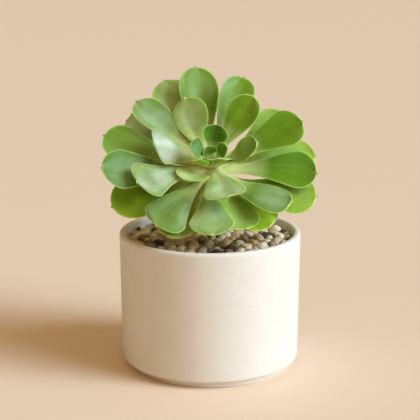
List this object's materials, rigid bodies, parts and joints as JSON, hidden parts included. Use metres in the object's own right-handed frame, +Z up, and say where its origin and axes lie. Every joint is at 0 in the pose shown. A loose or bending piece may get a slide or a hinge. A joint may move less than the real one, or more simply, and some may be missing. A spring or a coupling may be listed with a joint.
{
  "type": "potted succulent",
  "caption": "Leafy rosette succulent on a short stem, leaning forward from a round straight-sided ceramic pot filled with potting mix and topped with rounded river gravel.",
  "frame": {"origin": "on the pot's axis, at the level of the flat ring that the pot stands on", "axes": "+Z up along the pot's axis; the rosette leans and faces towards -Y; +X to the right of someone who looks at the rosette's face"},
  "size_m": [0.1165, 0.1, 0.1624],
  "materials": {
    "stoneware": "matte",
    "potting_mix": "matte",
    "river_gravel": "matte",
    "woody_stem": "matte",
    "succulent_leaf": "satin"
  },
  "bodies": {
    "root": {"pot": "stoneware", "soil": "potting_mix", "gravel": "river_gravel", "stem": "woody_stem", "rosette": "succulent_leaf"}
  },
  "joints": []
}
